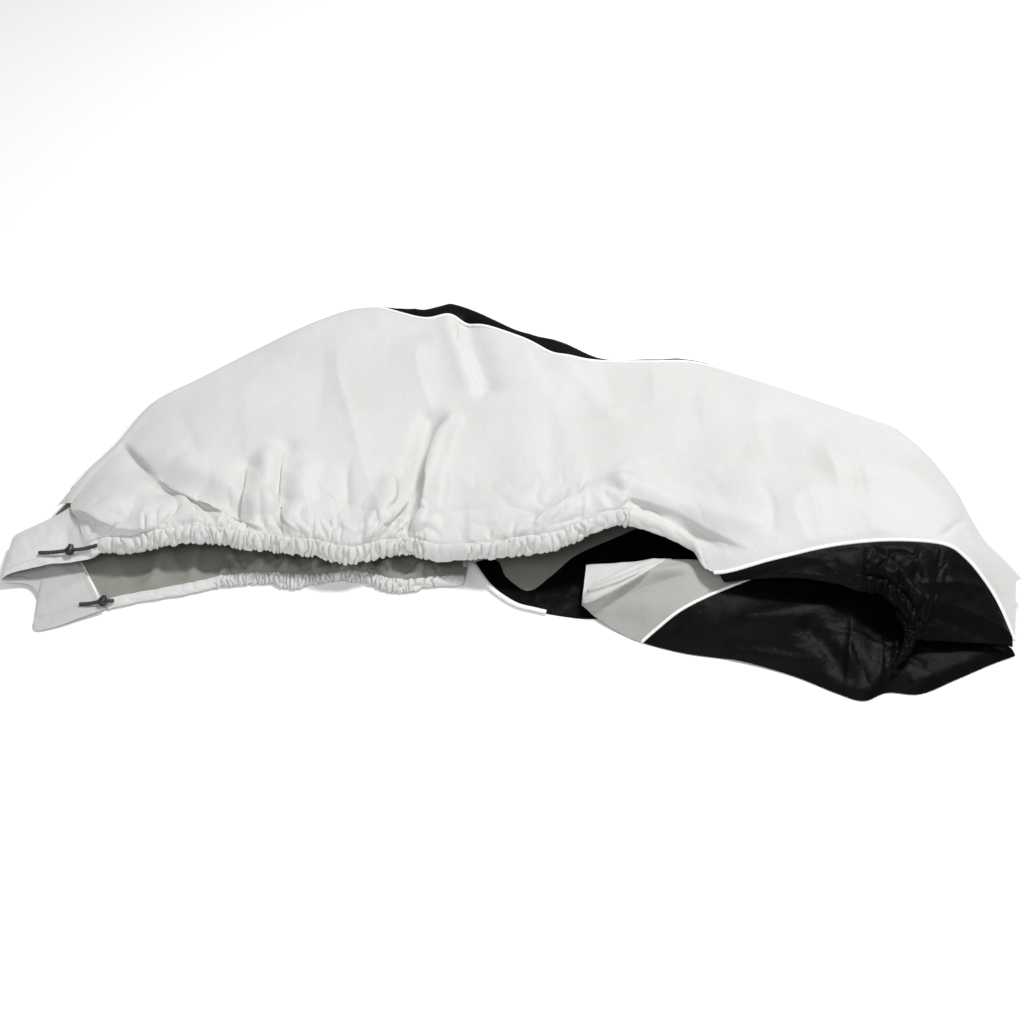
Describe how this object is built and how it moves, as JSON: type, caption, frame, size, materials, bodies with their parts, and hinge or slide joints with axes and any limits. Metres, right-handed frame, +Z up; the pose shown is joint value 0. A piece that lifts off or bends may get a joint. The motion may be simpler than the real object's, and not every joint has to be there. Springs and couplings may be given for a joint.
{
  "type": "personal watercraft cover",
  "caption": "Fitted cover for a personal watercraft, off its craft and laid on its side, with a gathered hem, a dark bow and a dark strip along its top.",
  "frame": {"origin": "on the floor, under the middle of the cover's plan", "axes": "+X towards the bow, +Z up from the floor, -Y towards the open hem; the starboard side is on top"},
  "size_m": [2.4501, 1.3729, 0.235],
  "materials": {
    "grey_cloth": "light grey coated polyester with a slight sheen",
    "black_cloth": "black coated polyester with a slight sheen",
    "white_piping": "white vinyl piping",
    "cord": "black braided drawcord",
    "cord_lock": "black moulded plastic"
  },
  "bodies": {
    "root": {"starboard_panel": "grey_cloth", "centre_strip": "black_cloth", "port_panel": "grey_cloth", "transom_panel": "grey_cloth", "bow_panel": "black_cloth", "bow_band": "black_cloth", "bow_fold": "grey_cloth", "bow_apron": "black_cloth", "starboard_piping": "white_piping", "port_piping": "white_piping", "bow_piping": "white_piping", "band_piping": "white_piping", "fold_piping": "white_piping", "upper_cord": "cord", "lower_cord": "cord", "upper_lock": "cord_lock", "lower_lock": "cord_lock"}
  },
  "joints": []
}
